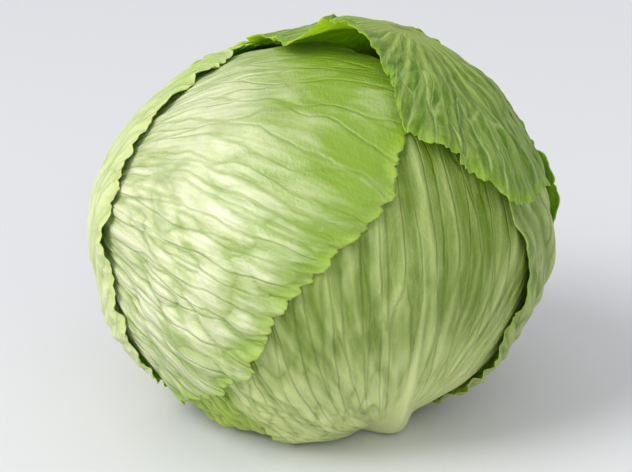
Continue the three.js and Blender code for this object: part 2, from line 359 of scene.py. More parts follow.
def leafSurface(leaf, ways, inward, marginShare, lift):
    # outer face of a leaf: the heart, the leaves between, its puffs, the midrib under it, its
    # own relief and its lifted, frilled margin, all added up from the head's centre. inward is
    # the distance to the margin.
    under, over = layersAt(leaf, ways)
    radius = heartRadius(ways) + under * head["leafPitch"] + leaf["thickness"]
    for place, reach, height in leaf.get("puffs", ()):
        away = np.degrees(np.arccos(np.clip(ways @ direction(*place), -1.0, 1.0)))
        radius = radius + height * (1.0 - smooth(0.0, reach, away))
    relief = leafRelief(leaf, ways)
    if leaf["order"] >= frontLeaf["order"]:
        radius = radius + midribHeight(ways)
    frill = leaf["frill"]
    nearMargin = 1.0 - smooth(0.0, frill["depth"], inward)
    wave = closedWave(marginShare, leaf["marginLength"] / frill["wave"], leaf["seed"] + 7)
    ripple = closedWave(marginShare, leaf["marginLength"] / frill["wave"] * 2.7,
                        leaf["seed"] + 8)
    liftShape = 1.0 - smooth(0.0, leaf["liftReach"], inward)
    free = 1.0 - smooth(0.0, 0.3, over)
    radius = radius + relief["height"] + lift * liftShape ** 1.4
    radius = radius + free * nearMargin ** 1.6 * (
        frill["height"] * (0.5 + wave) + 0.45 * frill["height"] * ripple - frill["press"])
    ground = groundRadius(ways, over)
    return softMin(radius, ground, head["groundBlend"]), relief


def squareRound(count):
    # a square grid laid over a disc: ring share 0 to 1, and place round the disc 0 to 1
    side = np.linspace(-1.0, 1.0, count + 1)
    u, v = np.meshgrid(side, side, indexing="ij")
    ring = np.maximum(np.abs(u), np.abs(v))
    safe = np.maximum(ring, 1e-9)
    flat = np.abs(u) >= np.abs(v)
    turn = np.where(flat, np.where(u > 0, 0.0, 0.5) + v / np.where(u == 0, safe, u) / 8.0,
                    np.where(v > 0, 0.25, 0.75) - u / np.where(v == 0, safe, v) / 8.0)
    return ring, turn % 1.0


def gridFace(count, first, flip):
    # four-cornered faces between neighbouring rows and columns of a square grid
    index = first + np.arange((count + 1) ** 2).reshape(count + 1, count + 1)
    quads = np.stack([index[:-1, :-1], index[1:, :-1], index[1:, 1:], index[:-1, 1:]], -1)
    quads = quads.reshape(-1, 4)
    return quads[:, ::-1] if flip else quads


def borderLoop(count, first):
    # the grid's outer points in order round the square
    index = first + np.arange((count + 1) ** 2).reshape(count + 1, count + 1)
    return np.concatenate([index[-1, :-1], index[:0:-1, -1], index[0, :0:-1], index[:-1, 0]])


def leafPoints(leaf, count, inner):
    # one face of a leaf on a square grid, from the margin table
    ring, share = (part.ravel() for part in squareRound(count))
    bearing, arc, lift = marginAlong(leaf, share)
    ragged = leaf["ragged"]
    lobes = np.abs(closedWave(share, leaf["marginLength"] / ragged["lobe"], leaf["seed"] + 20))
    teeth = np.abs(closedWave(share, leaf["marginLength"] / ragged["tooth"], leaf["seed"] + 21))
    bays = closedWave(share, leaf["marginLength"] / ragged["bay"], leaf["seed"] + 22)
    uneven = 0.9 + closedWave(share, leaf["marginLength"] / 0.02, leaf["seed"] + 23)
    edge = (ragged["lobeDepth"] * (np.sqrt(lobes) - 0.6) * uneven
            + ragged["toothDepth"] * (np.sqrt(teeth) - 0.5) * uneven
            + ragged["bayDepth"] * bays) / headRadius
    fullArc = arc + edge * smooth(0.78, 1.0, ring)
    ways = wayAt(leaf["compass"], bearing, fullArc * ring)
    inward = arc * (1.0 - ring) * headRadius
    radius, relief = leafSurface(leaf, ways, inward, share, lift)
    if inner:
        nearRim = 1.0 - smooth(0.0, head["rimReach"], inward)
        radius = radius - leaf["thickness"] * (1.0 - 0.5 * nearRim)
    points = ways * radius[:, None] + headCentre
    points[:, 2] = np.maximum(points[:, 2], 0.0)
    relief["inward"] = inward
    relief["ways"] = ways
    relief["inside"] = np.full(len(ways), float(inner))
    return points, relief


def leafMesh(leaf):
    # a closed shell: a fine outer face, an inner face with half as many steps, and a rim
    # that joins their borders
    count = int(leaf["grid"] * head["detail"]) // 4 * 4
    outerPoints, outer = leafPoints(leaf, count, False)
    innerPoints, inner = leafPoints(leaf, count // 2, True)
    offset = len(outerPoints)
    points = np.concatenate([outerPoints, innerPoints])
    outerLoop = borderLoop(count, 0)
    innerLoop = borderLoop(count // 2, offset)
    outerNext = np.roll(outerLoop, -1)
    innerNext = np.roll(innerLoop, -1)
    rim = np.concatenate([
        np.stack([outerLoop[0::2], innerLoop, outerNext[0::2]], -1),
        np.stack([outerNext[0::2], innerLoop, innerNext], -1),
        np.stack([outerNext[0::2], innerNext, outerNext[1::2]], -1),
    ])
    quads = np.concatenate([gridFace(count, 0, False), gridFace(count // 2, offset, True)])
    both = {name: np.concatenate([outer[name], inner[name]]) for name in outer}
    return makeMesh(leaf["node"], points, quads, rim), both


def makeMesh(name, points, quads, triangles):
    # a smooth-shaded mesh from whole arrays: points, then faces with four and three corners
    mesh = bpy.data.meshes.new(name)
    corners = np.concatenate([quads.ravel(), triangles.ravel()]).astype(np.int32)
    sizes = np.concatenate([np.full(len(quads), 4), np.full(len(triangles), 3)])
    mesh.vertices.add(len(points))
    mesh.vertices.foreach_set("co", points.astype(np.float32).ravel())
    mesh.loops.add(len(corners))
    mesh.loops.foreach_set("vertex_index", corners)
    mesh.polygons.add(len(sizes))
    starts = np.concatenate([[0], np.cumsum(sizes)[:-1]]).astype(np.int32)
    mesh.polygons.foreach_set("loop_start", starts)
    mesh.update(calc_edges=True)
    mesh.validate()
    mesh.shade_smooth()
    return mesh


def addValues(mesh, name, values):
    # one number for each point, for the material to read
    layer = mesh.attributes.new(name, "FLOAT", "POINT")
    layer.data.foreach_set("value", values.astype(np.float32))


def addVeinMap(mesh, across, along):
    # UV map in centimetres: across the veins and along them. A face on the fan's cut line
    # takes one side's angle, so no face is stretched round the fan.
    vertex = np.empty(len(mesh.loops), np.int32)
    mesh.loops.foreach_get("vertex_index", vertex)
    size = np.empty(len(mesh.polygons), np.int32)
    mesh.polygons.foreach_get("loop_total", size)
    face = np.repeat(np.arange(len(size)), size)
    first = np.concatenate([[0], np.cumsum(size)[:-1]])
    span = 2.0 * np.pi * fanRadius
    side = across[vertex]
    reference = side[first][face]
    side = side - span * np.round((side - reference) / span)
    layer = mesh.uv_layers.new(name="veins")
    layer.data.foreach_set("uv", np.stack([side, along[vertex]], -1).ravel() * 100.0)


# The outer leaves, from the innermost out. An outline point is longitude, latitude and the
# margin's lift in millimetres. Veins fan out from a source: middle is the fan's bearing in
# degrees, turn bends every vein, sag bends the lower ones down, opening is how closed the fan
# is at its source. In a look, colours are linear red, green and blue: deep to pale is the blade,
# the highlight colour is painted highlight on its whitest blotches, hair its finest veins, and
# where hair is darker than the blade it is painted shade in their grooves. palest is the palest
# place and paleReach the degrees over which it darkens. hairScale is hairlines to a centimetre
# across and along.

# A puff swells the leaves outward round one place: place, reach in degrees, height.
lowPuff = ((-46, -61), 39, 0.0064)
sidePuff = ((-92, -14), 45, 0.0022)
crownPuff = ((122, 60), 50, 0.0085)
backPuff = ((122, 60), 50, 0.0072)

lowerLeftLeaf = {
    "node": "lower_left_leaf", "slot": "lower_left_blade", "seed": 31, "grid": 150,
    "centre": (-45, -47), "thickness": 0.0006, "liftReach": 0.014, "puffs": [lowPuff],
    "outline": [(-12, -28, 0), (-5, -45, 0), (0, -62, 0), (35, -80, 0), (-100, -83, 0),
                (-112, -62, 0), (-105, -42, 0), (-80, -28, 0), (-45, -20, 0)],
    "ragged": {"bay": 0.03, "bayDepth": 0.002, "lobe": 0.009, "lobeDepth": 0.003,
               "tooth": 0.003, "toothDepth": 0.001},
    "frill": {"depth": 0.016, "height": 0.0016, "wave": 0.009, "press": 0.0},
    "veins": {"source": (20, -80), "middle": 150, "turn": 0.0, "sag": 0.0, "opening": 0.6,
              "count": 26},
    "relief": {"vein": 0.0003, "quilt": 0.0004, "pleat": 0.0003, "swell": 0.0006},
    "pucker": {"width": 0.005, "length": 0.009, "height": 0.0028,
               "strongest": ((-30, -50), 30, 60, 0.5)},
    "look": {
        "deep": (0.17, 0.32, 0.01), "pale": (0.45, 0.6, 0.1), "vein": (0.48, 0.6, 0.18),
        "margin": (0.38, 0.55, 0.05), "inside": (0.3, 0.48, 0.02), "sheen": (0.5, 0.62, 0.25),
        "hairAndGrooveShade": (0.15, 0.25, 0.02), "palest": (20, -80), "paleReach": (10, 70), "streak": 0.3,
        "blotchAndHighlight": 0.3, "net": 0.06, "veinMix": 0.6, "pleatMix": 0.3, "hairMix": 0.35,
        "hairScale": (2.0, 0.3), "hairBend": 0.8, "roughness": 0.45, "shine": 0.4,
    },
}

frontLeaf = {
    "node": "front_leaf", "slot": "front_blade", "seed": 12, "grid": 260,
    "centre": (28, -30), "thickness": 0.0008, "liftReach": 0.012, "puffs": [lowPuff],
    "outline": [(44, -80, 0), (72, -62, 0), (76, -42, 0), (73, -20, 0), (70, 0, 0), (67, 20, 0),
                (58, 40, 0), (36, 54, 0), (6, 58, 0), (-22, 48, 0), (-37, 28, 0), (-40, 6, 0),
                (-36, -12, 0), (-28, -26, 0.3), (-26, -34, 0.6), (-21, -43, 0.6), (-19, -52, 0.3),
                (-10, -64, 0), (14, -76, 0)],
    "ragged": {"bay": 0.03, "bayDepth": 0.0012, "lobe": 0.008, "lobeDepth": 0.0012,
               "tooth": 0.003, "toothDepth": 0.0007},
    "frill": {"depth": 0.01, "height": 0.0008, "wave": 0.008, "press": 0.0006},
    "veins": {"source": (46, -66), "middle": 126, "turn": -0.22, "sag": 0.0, "opening": 0.42,
              "count": 26},
    "relief": {"vein": 0.0004, "quilt": 0.0004, "pleat": 0.0007, "swell": 0.0007},
    "pucker": {"width": 0.007, "length": 0.02, "height": 0.0005,
               "strongest": ((-20, -20), 30, 70, 0.35)},
    "look": {
        "deep": (0.1, 0.175, 0.004), "pale": (0.58, 0.65, 0.29), "vein": (0.46, 0.56, 0.16),
        "margin": (0.28, 0.42, 0.04), "inside": (0.22, 0.36, 0.03), "sheen": (0.5, 0.58, 0.28),
        "hairAndGrooveShade": (0.12, 0.19, 0.02), "palest": (20, -72), "paleReach": (32, 72), "streak": 0.2,
        "blotchAndHighlight": 0.15, "net": 0.06, "veinMix": 0.55, "pleatMix": 0.35, "hairMix": 0.38,
        "hairScale": (1.9, 0.17), "hairBend": 0.3, "roughness": 0.5, "shine": 0.3,
    },
}

leftLeaf = {
    "node": "left_leaf", "slot": "left_blade", "seed": 43, "grid": 270,
    "centre": (-85, 8), "thickness": 0.0007, "liftReach": 0.012,
    "puffs": [sidePuff, lowPuff],
    "outline": [(80, 70, 0), (58, 58, 0), (43, 48, 0), (29, 37, 0), (17, 22, 0), (5, 11, 0.2),
                (-4, 3, 0.5), (-12, -7, 0.8), (-16, -17, 0.8), (-24, -26, 0.8), (-36, -34, 0.8),
                (-58, -44, 0.5), (-84, -57, 0), (-112, -62, 0), (-138, -50, 0), (-155, -30, 0),
                (-160, 0, 0), (-162, 30, 0), (-170, 58, 0), (110, 80, 0)],
    "ragged": {"bay": 0.026, "bayDepth": 0.003, "lobe": 0.009, "lobeDepth": 0.0048,
               "tooth": 0.0026, "toothDepth": 0.0022},
    "frill": {"depth": 0.009, "height": 0.0022, "wave": 0.0075, "press": 0.0015},
    "veins": {"source": (-100, 0), "middle": 20, "turn": 0.0, "sag": 0.3, "opening": 0.8,
              "count": 34},
    "relief": {"vein": -0.0003, "quilt": 0.0003, "pleat": 0.0, "swell": 0.0007},
    "pucker": {"width": 0.0056, "length": 0.015, "height": 0.0016,
               "strongest": ((-34, -16), 24, 58, 0.14)},
    # its vein and hairline colours are darker than its pale blade: painted shade in the grooves
    # that its veins sink into
    "look": {
        "deep": (0.18, 0.3, 0.01), "pale": (0.68, 0.71, 0.46), "vein": (0.26, 0.36, 0.07),
        "margin": (0.34, 0.5, 0.06), "inside": (0.25, 0.42, 0.03), "sheen": (0.84, 0.87, 0.66),
        "hairAndGrooveShade": (0.2, 0.3, 0.04), "palest": (-68, 14), "paleReach": (28, 72), "streak": 0.3,
        "blotchAndHighlight": 0.65, "net": 0.04, "veinMix": 0.6, "pleatMix": 0.0, "hairMix": 0.4,
        "hairScale": (1.6, 0.2), "hairBend": 1.1, "roughness": 0.36, "shine": 0.5,
    },
}

rightWrapperLeaf = {
    "node": "right_wrapper_leaf", "slot": "right_wrapper_blade", "seed": 54, "grid": 180,
    "centre": (85, -18), "thickness": 0.0007, "liftReach": 0.016,
    "outline": [(53, 16, 0), (54, 6, 1), (57, 0, 1), (58, -10, 0.8), (58, -20, 0.6),
                (56, -28, 0.4), (58, -40, 0.1), (70, -54, 0), (104, -76, 0), (122, -62, 0),
                (128, -38, 0), (128, -5, 0), (118, 20, 0), (96, 34, 0), (72, 30, 0)],
    "ragged": {"bay": 0.022, "bayDepth": 0.0018, "lobe": 0.009, "lobeDepth": 0.003,
               "tooth": 0.003, "toothDepth": 0.0009},
    "frill": {"depth": 0.01, "height": 0.0014, "wave": 0.009, "press": 0.0012},
    "veins": {"source": (95, -66), "middle": 100, "turn": 0.0, "sag": 0.0, "opening": 0.5,
              "count": 26},
    "relief": {"vein": 0.00045, "quilt": 0.0004, "pleat": 0.0022, "swell": 0.0008},
    "pucker": {"width": 0.0055, "length": 0.022, "height": 0.0019,
               "strongest": ((70, 0), 30, 60, 0.5)},
    "look": {
        "deep": (0.12, 0.2, 0.015), "pale": (0.46, 0.52, 0.22), "vein": (0.42, 0.49, 0.2),
        "margin": (0.24, 0.36, 0.04), "inside": (0.3, 0.38, 0.08), "sheen": (0.45, 0.5, 0.25),
        "hairAndGrooveShade": (0.08, 0.14, 0.01), "palest": (95, -66), "paleReach": (5, 80), "streak": 0.35,
        "blotchAndHighlight": 0.5, "net": 0.08, "veinMix": 0.6, "pleatMix": 0.6, "hairMix": 0.45,
        "hairScale": (2.2, 0.25), "hairBend": 0.5, "roughness": 0.5, "shine": 0.35,
    },
}

leftWrapperLeaf = {
    "node": "left_wrapper_leaf", "slot": "left_wrapper_blade", "seed": 65, "grid": 200,
    "centre": (-120, -8), "thickness": 0.0007, "liftReach": 0.018,
    "puffs": [sidePuff, lowPuff],
    "outline": [(-86, 50, 0), (-74, 34, 0.3), (-67, 19, 1), (-64, 4, 1.3), (-62, -10, 1),
                (-59, -20, 0.4), (-62, -32, 0), (-76, -48, 0), (-90, -64, 0), (-50, -81, 0),
                (-160, -76, 0), (-172, -50, 0), (178, -20, 0), (176, 12, 0), (-175, 40, 0),
                (-140, 56, 0), (-95, 58, 0)],
    "ragged": {"bay": 0.024, "bayDepth": 0.0018, "lobe": 0.008, "lobeDepth": 0.004,
               "tooth": 0.0028, "toothDepth": 0.0016},
    "frill": {"depth": 0.009, "height": 0.002, "wave": 0.0075, "press": 0.0019},
    "veins": {"source": (-130, -66), "middle": 95, "turn": 0.0, "sag": 0.0, "opening": 0.5,
              "count": 28},
    "relief": {"vein": 0.00045, "quilt": 0.0004, "pleat": 0.0008, "swell": 0.0009},
    "pucker": {"width": 0.0065, "length": 0.013, "height": 0.001,
               "strongest": ((-90, 0), 40, 80, 0.5)},
    "look": {
        "deep": (0.3, 0.42, 0.08), "pale": (0.62, 0.68, 0.36), "vein": (0.6, 0.67, 0.36),
        "margin": (0.55, 0.64, 0.25), "inside": (0.26, 0.42, 0.03), "sheen": (0.7, 0.75, 0.5),
        "hairAndGrooveShade": (0.3, 0.4, 0.1), "palest": (-110, -40), "paleReach": (30, 110), "streak": 0.3,
        "blotchAndHighlight": 0.3, "net": 0.06, "veinMix": 0.5, "pleatMix": 0.3, "hairMix": 0.3,
        "hairScale": (1.8, 0.25), "hairBend": 0.8, "roughness": 0.5, "shine": 0.35,
    },
}

crownLeaf = {
    "node": "crown_leaf", "slot": "crown_blade", "seed": 76, "grid": 270,
    "centre": (150, 50), "thickness": 0.0007, "liftReach": 0.026,
    "puffs": [crownPuff],
    "outline": [(-138, 47, 0), (-136, 63, 0), (-110, 74, 0), (-68, 78, 0.6), (-32, 77, 4.5),
                (3, 78, 10), (36, 72, 5.5),
                (36, 62, 2), (31, 52, 2), (26, 43, 2.5), (29, 37, 2.5), (38, 31, 2.5),
                (40, 26, 2.5), (47, 20, 2.5), (52, 15, 2), (62, 14, 1.6), (74, 13, 1),
                (92, 8, 0), (112, -6, 0), (135, -28, 0), (150, -58, 0), (178, -62, 0),
                (-160, -38, 0), (-150, -8, 0), (-135, 22, 0), (-130, 34, 0)],
    "ragged": {"bay": 0.03, "bayDepth": 0.0022, "lobe": 0.0085, "lobeDepth": 0.0034,
               "tooth": 0.0024, "toothDepth": 0.0026},
    "frill": {"depth": 0.008, "height": 0.002, "wave": 0.007, "press": 0.0014},
    "veins": {"source": (118, 64), "middle": -160, "turn": 0.0, "sag": 0.0, "opening": 0.9,
              "count": 30},
    "relief": {"vein": 0.0004, "quilt": 0.0006, "pleat": 0.0004, "swell": 0.0012},
    "pucker": {"width": 0.007, "length": 0.01, "height": 0.001,
               "strongest": ((60, 40), 40, 90, 0.6)},
    "look": {
        "deep": (0.068, 0.15, 0.002), "pale": (0.18, 0.28, 0.022), "vein": (0.36, 0.45, 0.13),
        # inner face: the underside's own yellow-green brightened to lime, painted light that
        # stands in for light shining through the lifted hood
        "margin": (0.2, 0.34, 0.02), "inside": (0.55, 0.78, 0.03), "sheen": (0.22, 0.29, 0.05),
        "hairAndGrooveShade": (0.42, 0.52, 0.2), "palest": (118, 64), "paleReach": (0, 50), "streak": 0.3,
        "blotchAndHighlight": 0.45, "net": 0.2, "veinMix": 0.7, "pleatMix": 0.15, "hairMix": 0.4,
        "hairScale": (1.3, 0.26), "hairBend": 1.0, "roughness": 0.55, "shine": 0.2,
    },
}

backLeaf = {
    "node": "back_leaf", "slot": "back_blade", "seed": 87, "grid": 220,
    "centre": (148, -12), "thickness": 0.0007, "liftReach": 0.02,
    "puffs": [backPuff],
    "outline": [(134, 47, 0.3), (126, 37, 0.3), (114, 22, 0.5), (95, 7, 1), (96, -10, 0.8),
                (100, -32, 0.8), (108, -54, 0.5), (110, -80, 0), (-170, -80, 0), (-145, -58, 0.5),
                (-142, -34, 1), (-150, -8, 1.5), (-160, 18, 2), (-178, 40, 2), (160, 50, 0.5),
                (136, 52, 0.3)],
    "ragged": {"bay": 0.024, "bayDepth": 0.0022, "lobe": 0.01, "lobeDepth": 0.0035,
               "tooth": 0.003, "toothDepth": 0.001},
    "frill": {"depth": 0.011, "height": 0.0014, "wave": 0.01, "press": 0.0},
    "veins": {"source": (150, -68), "middle": 90, "turn": 0.0, "sag": 0.0, "opening": 0.5,
              "count": 26},
    "relief": {"vein": 0.0006, "quilt": 0.0005, "pleat": 0.0009, "swell": 0.001},
    "pucker": {"width": 0.0065, "length": 0.013, "height": 0.0008,
               "strongest": ((120, 10), 40, 90, 0.5)},
    "look": {
        "deep": (0.11, 0.2, 0.01), "pale": (0.38, 0.46, 0.14), "vein": (0.44, 0.52, 0.22),
        "margin": (0.24, 0.38, 0.03), "inside": (0.22, 0.34, 0.03), "sheen": (0.45, 0.52, 0.25),
        "hairAndGrooveShade": (0.44, 0.52, 0.24), "palest": (150, -68), "paleReach": (5, 90), "streak": 0.28,
        "blotchAndHighlight": 0.25, "net": 0.12, "veinMix": 0.75, "pleatMix": 0.45, "hairMix": 0.4,
        "hairScale": (1.4, 0.25), "hairBend": 1.0, "roughness": 0.52, "shine": 0.3,
    },
}

leaves = [lowerLeftLeaf, frontLeaf, leftLeaf, rightWrapperLeaf, leftWrapperLeaf, crownLeaf,
          backLeaf]

# The inner leaves are cups that share the head's middle, each turned by the golden angle.
innerLook = {
    "slot": "inner_blade", "grid": 84, "thickness": 0.0007, "liftReach": 0.01,
    "ragged": {"bay": 0.03, "bayDepth": 0.002, "lobe": 0.01, "lobeDepth": 0.001,
               "tooth": 0.003, "toothDepth": 0.0005},
    "frill": {"depth": 0.01, "height": 0.0005, "wave": 0.01, "press": 0.0},
    "relief": {"vein": 0.0003, "quilt": 0.0002, "pleat": 0.0, "swell": 0.0},
    "pucker": {"width": 0.008, "length": 0.012, "height": 0.0003,
               "strongest": ((0, 0), 30, 60, 0.5)},
    "look": {
        "deep": (0.42, 0.54, 0.14), "pale": (0.7, 0.75, 0.38), "vein": (0.72, 0.77, 0.45),
        "margin": (0.5, 0.62, 0.14), "inside": (0.55, 0.64, 0.24), "sheen": (0.75, 0.8, 0.5),
        "hairAndGrooveShade": (0.4, 0.5, 0.15), "palest": (0, -80), "paleReach": (20, 110), "streak": 0.25,
        "blotchAndHighlight": 0.1, "net": 0.04, "veinMix": 0.6, "pleatMix": 0.2, "hairMix": 0.3,
        "hairScale": (1.8, 0.25), "hairBend": 0.8, "roughness": 0.4, "shine": 0.4,
    },
}


def innerLeaf(index):
    # its outline lies 68 degrees from its middle, with three slow waves
    turn = np.arange(24) / 24 * 2.0 * np.pi
    centre = (60 + 137.5 * index, 8)
    arc = np.radians(68 + 6 * np.sin(3 * turn + index))
    ways = wayAt(compass(centre), turn, arc)
    outline = np.stack([np.degrees(np.arctan2(ways[:, 0], -ways[:, 1])),
                        np.degrees(np.arcsin(ways[:, 2])), np.zeros(24)], -1)
    return dict(innerLook, node=f"inner_leaf_{index + 1}", seed=3 + index, centre=centre,
                outline=outline, veins={"source": (60 + 137.5 * index, -60), "middle": 90,
                                        "turn": 0.0, "sag": 0.0, "opening": 0.5, "count": 24})


innerLeaves = [innerLeaf(index) for index in range(head["innerLeaves"])]
for order, leaf in enumerate(innerLeaves + leaves):
    leaf["order"] = order


def addNode(tree, kind, settings=None, **inputs):
    # makes a node, sets its properties, and links or sets its inputs by name
    node = tree.nodes.new(kind)
    for name, value in (settings or {}).items():
        setattr(node, name, value)
    for name, value in inputs.items():
        socket = node.inputs[int(name[2:])] if name.startswith("in") else node.inputs[name]
        if isinstance(value, bpy.types.NodeSocket):
            tree.links.new(value, socket)
        else:
            socket.default_value = value
    return node


def mixColour(tree, share, first, second):
    # first times one minus share, plus second times share
    node = addNode(tree, "ShaderNodeMix", {"data_type": "RGBA"})
    for index, value in ((0, share), (6, first), (7, second)):
        if isinstance(value, bpy.types.NodeSocket):
            tree.links.new(value, node.inputs[index])
        elif index == 0:
            node.inputs[index].default_value = value
        else:
            node.inputs[index].default_value = (*value, 1.0)
    return node.outputs[2]


def arithmetic(tree, kind, first, second, clamp=False):
    # two values added, subtracted or multiplied, held in 0 to 1 if clamped
    node = addNode(tree, "ShaderNodeMath", {"operation": kind, "use_clamp": clamp},
                   in0=first, in1=second)
    return node.outputs[0]


def newMaterial(name):
    # a material, its node tree and its main shader
    material = bpy.data.materials.new(name)
    material.use_nodes = True
    return material, material.node_tree, material.node_tree.nodes["Principled BSDF"]


def remap(tree, value, low, high, start=0.0, end=1.0, kind="LINEAR"):
    # start at low, end at high, a straight line or an S-curve between, level outside
    node = addNode(tree, "ShaderNodeMapRange", {"interpolation_type": kind}, in0=value)
    for name, amount in (("From Min", low), ("From Max", high), ("To Min", start),
                         ("To Max", end)):
        node.inputs[name].default_value = amount
    return node.outputs[0]


def stretched(tree, place, scale):
    # a place times a scale across and along the veins
    node = addNode(tree, "ShaderNodeMapping", in0=place)
    node.inputs["Scale"].default_value = (*scale, 1.0)
    return node.outputs[0]


def shifted(tree, place, amount, reach):
    # a place plus a noise colour times its reach
    return addNode(tree, "ShaderNodeVectorMath", {"operation": "MULTIPLY_ADD"},
                   in0=amount, in1=reach, in2=place).outputs[0]


def noiseTexture(tree, place, scale, detail, roughness=0.5, output="Fac"):
    # fractal noise with a number of cells to one unit of place
    texture = addNode(tree, "ShaderNodeTexNoise", in0=place)
    texture.inputs["Scale"].default_value = scale
    texture.inputs["Detail"].default_value = detail
    texture.inputs["Roughness"].default_value = roughness
    return texture.outputs[output]


def cellLines(tree, place, low, high):
    # thin lines where two random cells meet: 1 nearer than low to the border, 0 past high
    cells = addNode(tree, "ShaderNodeTexVoronoi", {"feature": "DISTANCE_TO_EDGE"}, in0=place)
    cells.inputs["Scale"].default_value = 1.0
    return remap(tree, cells.outputs["Distance"], low, high, 1.0, 0.0)


def addBump(tree, shader, height, strength, distance):
    # tilts the surface by the slope of a height
    bump = addNode(tree, "ShaderNodeBump", Height=height)
    bump.inputs["Strength"].default_value = strength
    bump.inputs["Distance"].default_value = distance
    tree.links.new(bump.outputs[0], shader.inputs["Normal"])


leafValues = ("vein", "bulge", "pale", "edge", "inside", "pleat", "rib", "crinkle")

# What all blades share. A scale is cells to a centimetre, across and along the veins.
blade = {
    "streakScale": (3.2, 0.5), "netScale": (3.0, 1.5), "blotchAndHighlightScale": (1.7, 0.75),
    "wanderScale": 3.0, "slowScale": 0.45, "grainScale": 9.0,
    "netWidth": (0.0, 0.12), "hairWidth": (0.01, 0.07), "grownFrom": (1.5, 6.5),
    "ribMix": 0.8, "marginMix": 0.5, "creaseShadeMix": 0.75, "topHighlightMix": 0.45,
    "grainDepth": 0.35, "hairDepth": 0.4, "bump": 0.8, "bumpHeight": 0.001,
    "scatter": 0.5, "scatterRadius": (0.0018, 0.0026, 0.0005),
    "smoother": 0.06, "rougher": 0.1,
}


def leafMaterial(name, look):
    # deep green to pale, then one mix after another: net, painted shade in the creases and
    # painted highlight on the tops of the puckers, blotches and painted highlight spots, pleats,
    # veins, hairlines (painted groove shade where dark), midrib, margin and inner face
    material, tree, shader = newMaterial(name + "_blade")
    values = {name: addNode(tree, "ShaderNodeAttribute", {"attribute_name": name}).outputs["Fac"]
              for name in leafValues}
    veinMap = addNode(tree, "ShaderNodeUVMap", {"uv_map": "veins"}).outputs["UV"]
    streaks = noiseTexture(tree, stretched(tree, veinMap, blade["streakScale"]), 1.0, 5.0, 0.6)
    wander = noiseTexture(tree, veinMap, blade["wanderScale"], 2.0, output="Color")
    slow = noiseTexture(tree, veinMap, blade["slowScale"], 1.0, output="Color")
    netPlace = shifted(tree, stretched(tree, veinMap, blade["netScale"]), wander,
                       (0.5, 0.5, 0.0))
    netLine = cellLines(tree, netPlace, *blade["netWidth"])
    hairPlace = shifted(tree, stretched(tree, veinMap, look["hairScale"]), slow,
                        (look["hairBend"], 0.3, 0.0))
    hairPlace = shifted(tree, hairPlace, wander, (0.1, 0.1, 0.0))
    fromSource = addNode(tree, "ShaderNodeSeparateXYZ", in0=veinMap).outputs["Y"]
    grown = remap(tree, fromSource, *blade["grownFrom"], 0.15, 1.0)
    bare = arithmetic(tree, "SUBTRACT", grown, values["rib"], clamp=True)
    hairLine = cellLines(tree, hairPlace, *blade["hairWidth"])
    hairShare = arithmetic(tree, "MULTIPLY", hairLine, bare)
    netShare = arithmetic(tree, "MULTIPLY", netLine, look["net"])

    streakShare = remap(tree, streaks, 0.3, 0.7, -look["streak"], look["streak"])
    paleness = arithmetic(tree, "ADD", values["pale"], streakShare, clamp=True)
    colour = mixColour(tree, paleness, look["deep"], look["pale"])
    colour = mixColour(tree, netShare, colour, look["vein"])
    # painted shade: the creases between the puckers darkened towards deep green
    creaseShade = remap(tree, values["bulge"], 0.1, -0.45, 0.0, blade["creaseShadeMix"])
    colour = mixColour(tree, creaseShade, colour, look["deep"])
    # painted highlight: the tops of the puckers lightened towards pale
    topHighlight = remap(tree, values["bulge"], 0.05, 0.5, 0.0, blade["topHighlightMix"])
    colour = mixColour(tree, topHighlight, colour, look["pale"])
    # one stretched noise: dark green blotches where it is high, and painted highlight where it is
    # low, whitish spots that stand in for glints on the puckers
    blotchAndHighlightNoise = noiseTexture(tree, stretched(tree, veinMap, blade["blotchAndHighlightScale"]), 1.0, 3.0)
    for low, high, most, spotColour in ((0.52, 0.68, 1.0, look["deep"]),
                                        (0.44, 0.3, 0.65, look["sheen"])):
        share = remap(tree, blotchAndHighlightNoise, low, high, 0.0, look["blotchAndHighlight"] * most)
        share = arithmetic(tree, "MULTIPLY", share, values["crinkle"])
        share = arithmetic(tree, "MULTIPLY", share, grown)
        colour = mixColour(tree, share, colour, spotColour)
    for share, amount, mixed in (
            (values["pleat"], look["pleatMix"], look["pale"]),
            (values["vein"], look["veinMix"], look["vein"]),
            # hairlines: pale fine veins on some leaves; where their colour is darker than the
            # blade, painted shade in the grooves along the veins
            (hairShare, look["hairMix"], look["hairAndGrooveShade"]),
            (values["rib"], blade["ribMix"], midrib["colour"]),
            (values["edge"], blade["marginMix"], look["margin"]),
            (values["inside"], 1.0, look["inside"])):
        share = arithmetic(tree, "MULTIPLY", share, amount)
        colour = mixColour(tree, share, colour, mixed)
    tree.links.new(colour, shader.inputs["Base Color"])
    shader.inputs["Specular IOR Level"].default_value = look["shine"]
    shader.inputs["Subsurface Weight"].default_value = blade["scatter"]
    shader.inputs["Subsurface Radius"].default_value = blade["scatterRadius"]
    shader.inputs["Subsurface Scale"].default_value = 1.0
    rough = remap(tree, streaks, 0.3, 0.7, look["roughness"] - blade["smoother"],
                  look["roughness"] + blade["rougher"])
    tree.links.new(rough, shader.inputs["Roughness"])
    grain = noiseTexture(tree, veinMap, blade["grainScale"], 4.0)
    grain = arithmetic(tree, "MULTIPLY", grain, blade["grainDepth"])
    relief = arithmetic(tree, "ADD", netShare, streaks)
    relief = arithmetic(tree, "ADD", relief, grain)
    groove = arithmetic(tree, "MULTIPLY", hairShare, blade["hairDepth"])
    relief = arithmetic(tree, "SUBTRACT", relief, groove)
    addBump(tree, shader, relief, blade["bump"], blade["bumpHeight"])
    return material


